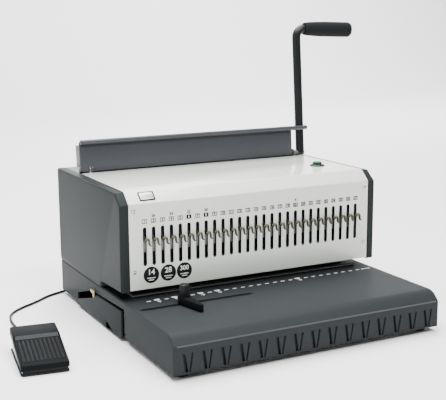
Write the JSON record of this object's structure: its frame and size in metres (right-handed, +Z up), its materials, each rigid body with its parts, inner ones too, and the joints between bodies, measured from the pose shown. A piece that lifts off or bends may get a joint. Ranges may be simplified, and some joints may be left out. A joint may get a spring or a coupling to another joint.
{
  "type": "comb binding machine",
  "caption": "Desktop comb binding machine: electric hole punch with a slotted hook panel, a hand lever that opens the combs, an edge guide, a chip drawer and a foot pedal on a lead.",
  "frame": {"origin": "on the surface the machine stands on, in the middle of the footprint of everything but the lead", "axes": "+X along the width towards the lever grip, +Y from the paper deck towards the rear, +Z up"},
  "size_m": [0.7196, 0.5611, 0.462],
  "materials": {
    "cream_paint": "glossy cream white enamel",
    "grey_plastic": "satin dark grey, faintly grained",
    "side_plastic": "satin grey, faintly grained",
    "blue_paint": "satin blue grey enamel",
    "black_paint": "gloss black enamel",
    "black_plastic": "satin black",
    "rubber": "matte black",
    "gold_zinc": "yellow passivated zinc, satin",
    "bright_steel": "bright",
    "dark_steel": "oiled steel",
    "zinc_sheet": "zinc plated sheet",
    "green_plastic": "glossy green",
    "board_green": "circuit board green",
    "brass": "satin"
  },
  "bodies": {
    "machine": {"base_cover": "grey_plastic", "base_plate": "dark_steel", "die_plate": "dark_steel", "punch_guide": "dark_steel", "gearbox": "dark_steel", "transformer": "dark_steel", "foot_front_left": "rubber", "foot_front_right": "rubber", "foot_rear_left": "rubber", "foot_rear_right": "rubber", "pedal_mat": "rubber", "pedal_gland": "rubber", "cord_gland": "rubber", "button_bezel": "black_plastic", "mains_inlet": "black_plastic", "pedal_switch": "black_plastic", "cord_run_machine": "black_plastic", "cord_coil": "black_plastic", "cord_run_pedal": "black_plastic", "left_side_cover": "side_plastic", "right_side_cover": "side_plastic", "front_cover": "cream_paint", "panel_screw_top_left": "bright_steel", "panel_screw_top_right": "bright_steel", "panel_screw_bottom_left": "bright_steel", "panel_screw_bottom_right": "bright_steel", "rear_cover": "blue_paint", "left_frame": "zinc_sheet", "right_frame": "zinc_sheet", "motor_bracket": "zinc_sheet", "pedal_base": "zinc_sheet", "motor": "black_paint", "control_board": "board_green"},
    "lever": {"lever_shaft": "dark_steel", "crank_left": "dark_steel", "crank_right": "dark_steel", "lever_tube": "black_paint", "lever_grip": "rubber", "rear_flap": "blue_paint", "flap_rod": "blue_paint"},
    "pull_links": {"pull_link_left": "zinc_sheet", "pull_link_right": "zinc_sheet"},
    "bell_cranks": {"bell_crank_left": "dark_steel", "bell_crank_right": "dark_steel"},
    "hook_slide": {"hook_comb": "gold_zinc", "opener_bar": "bright_steel"},
    "cam_drive": {"cam_shaft": "bright_steel", "cam_left": "dark_steel", "cam_right": "dark_steel", "drive_gear": "black_plastic"},
    "punch_slide": {"punch_pins": "bright_steel", "punch_bar": "dark_steel"},
    "motor_drive": {"motor_pinion": "brass"},
    "drawer": {"chip_drawer": "grey_plastic", "drawer_catch": "brass"},
    "guide": {"edge_guide": "black_plastic", "guide_clamp": "dark_steel"},
    "knob": {"guide_knob": "black_plastic"},
    "button": {"power_button": "green_plastic"},
    "pedal_lid": {"pedal_cover": "black_plastic"}
  },
  "joints": [
    {"name": "lever_swing", "type": "hinge", "parent": "machine", "child": "lever", "pos_m": [0.03252, 0.1475, 0.228], "axis": [1, 0, 0], "range_deg": [0, 50]},
    {"name": "link_swing", "type": "hinge", "parent": "lever", "child": "pull_links", "pos_m": [0.03252, 0.13482, 0.20081], "axis": [1, 0, 0], "range_deg": [-50, 0]},
    {"name": "bell_swing", "type": "hinge", "parent": "machine", "child": "bell_cranks", "pos_m": [0.03252, -0.0095, 0.15], "axis": [1, 0, 0], "range_deg": [0, 50]},
    {"name": "hook_travel", "type": "slide", "parent": "machine", "child": "hook_slide", "axis": [0, 0, -1], "range_m": [0, 0.0322]},
    {"name": "cam_turn", "type": "hinge", "parent": "machine", "child": "cam_drive", "pos_m": [0.03252, -0.0175, 0.19], "axis": [1, 0, 0], "range_deg": [0, 180.1]},
    {"name": "punch_stroke", "type": "slide", "parent": "machine", "child": "punch_slide", "axis": [0, 0, -1], "range_m": [0, 0.012]},
    {"name": "pinion_turn", "type": "hinge", "parent": "machine", "child": "motor_drive", "pos_m": [0.21252, 0.0155, 0.19], "axis": [1, 0, 0], "range_deg": [-480.3, 0.01]},
    {"name": "drawer_pull", "type": "slide", "parent": "machine", "child": "drawer", "axis": [-1, 0, 0], "range_m": [0, 0.08]},
    {"name": "guide_shift", "type": "slide", "parent": "machine", "child": "guide", "axis": [1, 0, 0], "range_m": [-0.06, 0.098]},
    {"name": "knob_turn", "type": "hinge", "parent": "guide", "child": "knob", "pos_m": [-0.11148, -0.1065, 0.078], "axis": [0, 0, 1], "range_deg": [0, 180]},
    {"name": "button_press", "type": "slide", "parent": "machine", "child": "button", "axis": [0, 0, -1], "range_m": [0, 0.0025], "stiffness_N_per_m": 300, "springref_m": -0.001},
    {"name": "pedal_press", "type": "hinge", "parent": "machine", "child": "pedal_lid", "pos_m": [-0.31408, -0.02395, 0.021], "axis": [0.9903, -0.1392, 0], "range_deg": [0, 2], "stiffness_Nm_per_rad": 3, "springref_deg": -2.86}
  ],
  "couplings": [
    {"joint": "link_swing", "follows": "lever_swing", "ratio": -1},
    {"joint": "bell_swing", "follows": "lever_swing", "ratio": 1},
    {"joint": "hook_travel", "follows": "lever_swing", "m_per_rad": 0.0367},
    {"joint": "cam_turn", "follows": "punch_stroke", "rad_per_m": 261.8},
    {"joint": "pinion_turn", "follows": "punch_stroke", "rad_per_m": -698.13}
  ]
}
